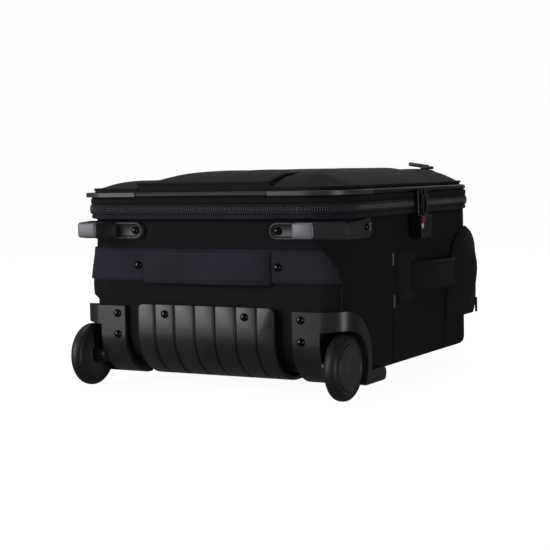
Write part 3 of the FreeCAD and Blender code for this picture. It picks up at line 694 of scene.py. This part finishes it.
def make_pockets():
    """The three padded pockets on the lid; the right one takes the darker tub cloth as painted shade on its domed
    top.
    """
    pocket("centre_pocket_cover", "centre_pocket", -92, 91.6, 252.5, 266, 0, (78, 34, 60), (0, 0.7, 0),
           POCKET_CLOTH)
    # painted shade: the right pocket takes the darker tub cloth where the others take the pocket cloth, for its
    # darker domed top
    pocket("right_pocket_painted_shade_cover", "right_pocket", 92.4, 176, 246, 266, 1, (45, 80, 66), (0.66, 0, 0),
           BALLISTIC)
    pocket("left_pocket_cover", "left_pocket", -176, -92.4, 246, 255.5, -1, (60, 20, 60), (0, 0.9, 0),
           POCKET_CLOTH)


def make_hinge():
    """The cloth that joins the lid to the tub along the left side, where the zip isn't."""
    bm = box_mesh((-HALF - 9.2, 62, 205), (-HALF - 8.2, 344, 238))
    slice_up(bm, 2, 205, 238, 2)
    slice_up(bm, 1, 62, 344, 20)
    weld(bm)
    strip = finish_piece("hinge_cloth", bm, None, BALLISTIC, (), 40)
    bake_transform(strip)


# ------------------------------------------------------------------ moulded parts
def make_skid():
    """The skid plate: flat at the top, turned under at the heel, seven ribs between six grooves."""
    half, front, top, low, end = 94.6, 10, 106, 15, 95
    groove_half, groove_depth, thickness = 1.0, 2.0, 5.5
    bm = box_mesh((-half, -front, low), (half, end, top))
    bevel(bm, edges_where(bm, lambda x, y, z: y < 1 and z < low + 1), HEEL_ROUND + front, 16)
    weld(bm)
    keep = [f for f in bm.faces if f.normal.y < -0.05 or f.normal.z < -0.05]
    bmesh.ops.delete(bm, geom=[f for f in bm.faces if f not in keep], context="FACES")
    grooves = (14.1, 42.8, 70.9)
    for centre in grooves:
        for sign in (1, -1):
            for offset in (-1.7, -0.8, 0.8, 1.7):
                x = sign * centre + offset
                bmesh.ops.bisect_plane(bm, geom=bm.verts[:] + bm.edges[:] + bm.faces[:], plane_co=at(x, 0, 0),
                                       plane_no=(1, 0, 0), dist=1e-6)
    weld(bm)
    bmesh.ops.recalc_face_normals(bm, faces=bm.faces)
    if sum(f.normal.y for f in bm.faces) > 0:
        bmesh.ops.reverse_faces(bm, faces=bm.faces)
    bm.normal_update()
    for vert in bm.verts:
        x = abs(case_axes(vert.co)[0])
        if any(abs(x - g) < groove_half for g in grooves):
            vert.co -= vert.normal * groove_depth * MM
    corner = [v for v in bm.verts if len(v.link_edges) == 2]
    bmesh.ops.bevel(bm, geom=corner, offset=7 * MM, segments=4, profile=0.5, affect="VERTICES", material=-1)
    finish_piece("skid_plate_ribbed", bm, "case", PLASTIC, ("skid_plate",), 50, [
        ("SOLIDIFY", {"thickness": thickness * MM, "offset": -1}),
        ("BEVEL", {"width": 1.0 * MM, "segments": 3, "limit_method": "ANGLE", "angle_limit": math.radians(50)})])


def lathe(profile, centre, side, steps=64):
    """Spin a profile of (radius, outward) pairs about the wheel's axis through centre."""
    bm = bmesh.new()
    verts = [bm.verts.new(centre + Vector((side * o * MM, 0, r * MM))) for r, o in profile]
    edges = [bm.edges.new(pair) for pair in zip(verts, verts[1:])]
    bmesh.ops.spin(bm, geom=verts + edges, cent=centre, axis=(1, 0, 0), dvec=(0, 0, 0), angle=2 * math.pi,
                   steps=steps, use_merge=True, use_duplicate=False)
    weld(bm, 0.005)
    return bm


def arc(radius, outward, size, start, end, count=6):
    """Points of a round of one size about (radius, outward), between two angles in degrees."""
    return [(radius + size * math.sin(math.radians(start + (end - start) * i / count)),
             outward + size * math.cos(math.radians(start + (end - start) * i / count))) for i in range(count + 1)]


def make_wheels():
    """Each wheel: a soft tyre on a dished hub, with a ringed cap on its outer face."""
    half, radius, shoulder = WHEEL_HALF, WHEEL_RADIUS, 8
    round_in = arc(radius - shoulder, shoulder - half, shoulder, 173, 90, 10)
    round_out = arc(radius - shoulder, half - shoulder, shoulder, 90, 7, 10)
    tyre = [(31.9, -half + 0.8)] + round_in + round_out + [(31.9, half - 0.9), (31.9, -half + 0.8)]
    hub = [(4.6, -half + 1.2), (10, -half + 1.2), (12, -half + 2.6), (28, -half + 3.2), (31.8, -half + 1.6),
           (31.8, half - 0.8), (30.8, half - 0.4), (29.2, half - 0.2), (28.4, half - 1.2), (27.6, half - 1.4),
           (27.2, half - 3), (4.6, half - 3), (4.6, -half + 1.2)]
    cap = [(0, half - 2.8), (26.9, half - 2.8), (26.9, half - 0.6), (26.2, half + 0.1), (23, half + 0.5),
           (22.4, half + 0.1), (21.8, half + 0.6), (12, half + 1.1), (11.6, half + 0.8), (11.2, half + 1.15),
           (0, half + 1.2)]
    for side, word in ((1, "right"), (-1, "left")):
        centre = at(side * WHEEL_X, AXLE_Y, radius)
        body = "wheel_" + word
        finish_piece(f"tyre_{word}_rubber", lathe(tyre, centre, side, 96), body, TYRE,
                     (f"tyre_{word}",), 50)
        finish_piece(f"hub_{word}_disc", lathe(hub, centre, side), body, HUB, (f"hub_{word}",), 50)
        finish_piece(f"hub_{word}_cap", lathe(cap, centre, side), body, HUB,
                     (f"hub_cap_{word}",), 40)


def dome(place, outward, radius, rise, rows=6):
    """A low dome on a face, with its rim sunk a little into it."""
    bm = bmesh.new()
    bmesh.ops.create_uvsphere(bm, u_segments=32, v_segments=2 * rows, radius=1)
    bmesh.ops.bisect_plane(bm, geom=bm.verts[:] + bm.edges[:] + bm.faces[:], plane_co=(0, 0, -0.08),
                           plane_no=(0, 0, 1), clear_inner=True)
    bmesh.ops.holes_fill(bm, edges=[e for e in bm.edges if e.is_boundary], sides=0)
    turn = Vector(outward).to_track_quat("Z", "X").to_matrix().to_4x4()
    size = Matrix.Diagonal((radius * MM, radius * MM, rise * MM, 1))
    bmesh.ops.transform(bm, verts=bm.verts, matrix=Matrix.Translation(place) @ turn @ size)
    return bm


def make_rivets():
    """Domed rivet heads; those on the webbing sit on washers."""
    groups = {"skid_rivets": (10, [(s * 55.7, 94.3) for s in (1, -1)], 0),
              "housing_rivets": (6, [(s * 128, z) for s in (1, -1) for z in (92.9, 67.1)], 0),
              "foot_rivets": (4, [(s * 99.5, 195.2) for s in (1, -1)], 0),
              "webbing_rivets": (1.6, [(s * 97.5, 152.9) for s in (1, -1)], 1)}
    for group, (face, places, washer) in groups.items():
        parts = []
        for x, z in places:
            if washer:
                parts.append(dome(at(x, -face, z), (0, -1, 0), 6.4, 1.2))
            parts.append(dome(at(x, -face - 0.9 * washer, z), (0, -1, 0), 5.1, 3.8))
        if group == "foot_rivets":
            parts += [dome(at(s * (HALF + 3.8), 58, 197.5), (s, 0, 0), 4.4, 3.2) for s in (1, -1)]
        finish_piece(group + "_heads", join(*parts), "case", RIVET, (group,), 60)


def make_moulded():
    """The moulded and cast pieces that keep their designed shape, with eased edges, and the plain ones."""
    for word in ("right", "left"):
        housing = f"wheel_housing_{word}"
        softened(housing, housing + "_shell", PLASTIC, "case", 1.2, 3)
    softened("rear_rest", "rear_rest_block", PLASTIC, "case", 2.0, 3)
    softened("handle_bezel", "handle_bezel_tray", PLASTIC, "case", 0.6, 2)
    softened("pull_grip", "pull_grip_bar", PLASTIC, "handle_upper_stage", 1.6, 3)
    softened("grip_button", "grip_button_cap", HUB, "grip_button", 0.8, 3)
    softened("corner_strips", "corner_strip_mouldings", STRIP, "lid", 0.5, 2)
    softened("lock_body", "lock_case", ZINC, "padlock", 0.8, 3)
    for number in (1, 2, 3):
        dial = f"lock_dial_{number}"
        softened(dial, dial + "_wheel", DIAL, f"dial_{number}", 0.5)
    for word in ("near", "far"):
        softened(f"slider_{word}", f"slider_{word}_casting", ZINC, f"zip_slider_{word}", 0.5, 2)
        softened(f"pull_{word}", f"pull_{word}_tab", ZINC, f"zip_pull_{word}", 0.4, 2)
    softened("side_zip_pull", "side_zip_tab", ZINC, "side_zip", 0.5, 2)
    for node, material in (("outer_tubes", TUBE), ("middle_tubes", TUBE), ("inner_tubes", TUBE),
                           ("tube_bracket", PLASTIC), ("axles", STEEL), ("bearing_right", STEEL),
                           ("bearing_left", STEEL), ("lock_shackle", ZINC), ("rim_frame", STEEL),
                           ("floor_lining", LINING)):
        paint(node, material)


FOOT_SPAN = (88, 231)
FOOT_ENDS = (10.9, 8.0)
FOOT_RELIEF = [(0, -0.6), (0, 3.4), (0.4, 4.7), (1.1, 5.4), (2.0, 5.7), (3.0, 5.6), (3.7, 5.1), (4.3, 4.2),
               (5.2, 3.9)]
# how many steps of the recess floor, from its near end, take the darker plate plastic as painted shade where the
# block shades the recess
RECESS_SHADE_STEPS = 20


def foot_outline(inset, steps=30):
    """The upper half of a foot's outline, moved in by inset, as (distance along the plan, drop) points."""
    start, end = FOOT_SPAN
    points = []
    for s_end, sign, radius in ((start, 1, FOOT_ENDS[0]), (end, -1, FOOT_ENDS[1])):
        small = radius - inset
        turn = [(s_end + sign * (radius - small * math.cos(a)), -radius + small * math.sin(a))
                for a in np.linspace(0, math.pi / 2, 9)]
        points.append(turn if sign > 0 else turn[::-1])
    near, far = points
    run = [(s, -inset) for s in np.linspace(near[-1][0], far[0][0], steps)[1:-1]]
    return [(near[0][0], None)] + near + run + far + [(far[-1][0], None)]


def foot_point(s, drop, upper, out, side):
    """A point of the foot; drop is its distance below the upper edge, or None on the centre line."""
    low = np.interp(s, (88, 160, 231), (184.2, 184.2, 185.2))
    high = np.interp(s, (88, 138, 165, 200, 231), (206, 206, 203.6, 206, 210))
    middle, half = (low + high) / 2, (high - low) / 2
    rise = 0 if drop is None else max(0, half + drop)
    x, y, _, _ = plan_place(s, out, side)
    return at(x, y, middle + (rise if upper else -rise))


def make_feet():
    """Each corner foot: a capsule strap with a raised rim, bent round the corner, the near part of its recess
    floor in darker plastic as painted shade, and a block with a pale face.
    """
    for side, word in ((1, "right"), (-1, "left")):
        bm = bmesh.new()
        rows = []
        for inset, out in FOOT_RELIEF:
            outline = foot_outline(inset)
            rows.append([[bm.verts.new(foot_point(s, drop, upper, out, side)) for s, drop in outline]
                         for upper in (True, False)])
        for first, second in zip(rows, rows[1:]):
            for a, b in zip(first, second):
                for k in range(len(a) - 1):
                    bm.faces.new((a[k], a[k + 1], b[k + 1], b[k]))
        top, bottom = rows[-1]
        for k in range(len(top) - 1):
            floor = bm.faces.new((top[k], top[k + 1], bottom[k + 1], bottom[k]))
            # painted shade: the near part of the recess floor takes the darker plate plastic
            floor.material_index = 2 * int(k < RECESS_SHADE_STEPS)
        weld(bm, 0.02)
        bmesh.ops.dissolve_degenerate(bm, dist=0.01 * MM, edges=bm.edges)
        block = bmesh.new()
        ends = ((-38, 135.5, 161.5, 187.8, 206.2), (-8, 129, 173.5, 185.4, 206.2), (14, 123, 180, 184.4, 206.6))
        corners = [[block.verts.new(at(side * x, y, z)) for x, z in ((x0, z0), (x1, z0), (x1, z1), (x0, z1))]
                   for y, x0, x1, z0, z1 in ends]
        face = block.faces.new(corners[0])
        block.faces.new(corners[-1][::-1])
        for a, b in zip(corners, corners[1:]):
            for k in range(4):
                block.faces.new((a[k], b[k], b[(k + 1) % 4], a[(k + 1) % 4]))
        bmesh.ops.recalc_face_normals(block, faces=block.faces)
        face.material_index = 1
        bevel(block, [e for e in block.edges if e.calc_face_angle() > 0.3], 3.0, 4)
        for part in block.faces:
            part.material_index = int(part.normal.y < -0.6)
        finish_piece(f"corner_foot_{word}_body", join(bm, block), "case", [FOOT_PLASTIC, PAD_FACE, PLASTIC],
                     (f"corner_foot_{word}",), 50)


def make_lock_details():
    """Two plain dots on the lock's face, the white one partly print and partly a painted glint, and the slider and
    tab of the lid pocket's zip.
    """
    for name, material, y, z, radius in (("lock_red_dot", RED, 192, 201, 4.6),
                                         # the white dot is sized and brightened as a painted glint on the lock's
                                         # badge
                                         ("lock_white_dot", WHITE, 188.6, 193.4, 3.6)):
        disc = dome(at(198.45, y, z), (1, 0, 0), radius, 0.5, 3)
        finish_piece(name, disc, "padlock", material, (), 40)
    slider = box_mesh((121, 363, 262.5), (137, 374, 267))
    bevel(slider, slider.edges, 1.6, 3)
    tab = box_mesh((-14, -4.5, -2.6), (14, 4.5, 2.6))
    bevel(tab, tab.edges, 1.6, 3)
    tilt = Matrix.Translation(at(117, 368.5, 268.2)) @ Matrix.Rotation(math.radians(9), 4, "Y")
    bmesh.ops.transform(tab, verts=tab.verts, matrix=tilt @ Matrix.Translation(-at(0, 0, 0)))
    finish_piece("top_zip_tab", join(slider, tab), "top_zip", ZINC, ("top_zip_pull",), 40)


def paint(node, material):
    """Give a CAD piece that keeps its own shape a finished material."""
    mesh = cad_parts[node].data
    mesh.materials.clear()
    mesh.materials.append(material)
    for polygon in mesh.polygons:
        polygon.material_index = 0


# ------------------------------------------------------------------ webbing and carry handles
def strap(points, width_mm, thick_mm, name, material, replaces, crown_mm=0.0):
    """A flat upright strap along points, its face raised along the middle by a crown."""
    across = Vector((0, 0, 1))
    bm = bmesh.new()
    rows = []
    count = 6
    for i, point in enumerate(points):
        step = points[min(i + 1, len(points) - 1)] - points[max(i - 1, 0)]
        face = across.cross(step).normalized()
        row = []
        for j in range(count + 1):
            t = j / count - 0.5
            crown = (1 - (2 * t) ** 4) * crown_mm * MM
            row.append(bm.verts.new(point + across * (t * width_mm * MM) + face * crown))
        rows.append(row)
    for first, second in zip(rows, rows[1:]):
        for j in range(count):
            bm.faces.new((first[j], first[j + 1], second[j + 1], second[j]))
    bmesh.ops.recalc_face_normals(bm, faces=bm.faces)
    finish_piece(name, bm, "case", material, (replaces,), 60, [
        ("SOLIDIFY", {"thickness": thick_mm * MM, "offset": 0}),
        ("BEVEL", {"width": 0.35 * thick_mm * MM, "segments": 2, "limit_method": "ANGLE"})])


def arch(start, end, rise, count, power):
    """Points from start to end that rise off the face between them; a high power keeps the middle flat."""
    points = []
    for i in range(count + 1):
        t = i / count
        lift = (1 - abs(2 * t - 1) ** power)
        points.append(start.lerp(end, t) + rise * lift)
    return points


def make_webbing():
    """The band across the wheel end, the two carry loops, and the padded carry handle with its mount."""
    bm = bmesh.new()
    rows = []
    for height in np.linspace(134, 173, 9):
        end = np.interp(height, (134, 139, 154, 165, 173), (174, 173.5, 169.5, 161.5, 153))
        row = []
        for s in np.linspace(-196, end, 90):
            side = -1 if s < 0 else 1
            x, y, _, _ = plan_place(abs(s), 0, side)
            x, y, _, _ = plan_place(abs(s), 1.7 + sag(x, y, height), side)
            row.append(bm.verts.new(at(x, y, height)))
        rows.append(row)
    for first, second in zip(rows, rows[1:]):
        for a in range(len(first) - 1):
            bm.faces.new((first[a], first[a + 1], second[a + 1], second[a]))
    finish_piece("end_webbing_base", bm, "case", WEBBING, ("end_webbing",), 60, [
        ("SOLIDIFY", {"thickness": 1.6 * MM, "offset": 0})])
    loop = arch(at(-88, -2.6, 151), at(88, -2.6, 151), Vector((0, -8 * MM, 0)), 60, 7)
    strap(loop, WEB_WIDTH, 2.2, "end_carry_loop", WEBBING, "end_handle")
    top = arch(at(-88, LENGTH + 1.6, 151), at(88, LENGTH + 1.6, 151), Vector((0, 6.6 * MM, 0)), 40, 5)
    strap(top, WEB_WIDTH, 2.2, "top_carry_loop", WEBBING, "top_handle")
    mount = box_mesh((HALF, 149, 101), (HALF + 2.6, 204, 162))
    bevel(mount, [e for e in mount.edges if along(e, 0)], 10, 5)
    bevel(mount, edges_where(mount, lambda x, y, z: x > HALF + 2), 1.2, 3)
    finish_piece("side_handle_mount", mount, "case", POCKET_CLOTH, (), 50)
    path = arch(at(HALF + 2.5, 190, 131), at(HALF + 2.5, 318, 129), Vector((18 * MM, 0, 0)), 48, 3.4)
    strap(path, 35, 5.5, "side_carry_band", POCKET_CLOTH, "side_handle", 3.0)


def make_side_pocket():
    """The padded pocket near the far end of the right side: square below, its near edge sweeping back above."""
    near, far, low, high = 303, 397, 66, 184
    bm = box_mesh((HALF, near, low), (HALF + 16, far, high))
    slice_up(bm, 1, near, far, 5)
    slice_up(bm, 2, low, high, 6)
    weld(bm)
    for vert in bm.verts:
        x, y, z = case_axes(vert.co)
        edge = np.interp(z, (66, 104, 140, 160, 172, 180, 184), (303, 306, 317, 328, 340, 352, 364))
        last = np.interp(z, (66, 140, 160, 172, 180, 184), (397, 397, 394, 389, 381, 372))
        share = (y - near) / (far - near)
        y = edge + share * (last - edge)
        reach, lift = min(share, 1 - share) * (far - near), min(z - low, high - z)
        if x > HALF + 8:
            rise = swell(reach, 40) * swell(lift, 62)
            gusset = 4 * share ** 4 * swell(lift, 30)
            x = HALF + 2 + gusset + (18 - gusset) * rise + flow(x, y, z, 26, 2.4, 3) * rise
        vert.co = at(x, y, z)
    bm.normal_update()
    fold = [e for e in bm.edges if len(e.link_faces) == 2 and e.calc_face_angle() > 0.6
            and min(case_axes(v.co)[0] for v in e.verts) > HALF + 2]
    rim = loop_points(fold)
    cover = finish_piece("side_pocket_cover", bm, "case", POCKET_CLOTH, ("side_pocket",), 70)
    finish_piece("side_pocket_piping", tube_mesh(rim, 1.5, True), "case", SEAM, (), 80)


make_camera()
make_studio()
make_tub()
make_seams()
make_rim()
make_lid()
make_pockets()
make_hinge()
make_skid()
make_wheels()
make_rivets()
make_feet()
make_moulded()
make_lock_details()
make_webbing()
make_side_pocket()
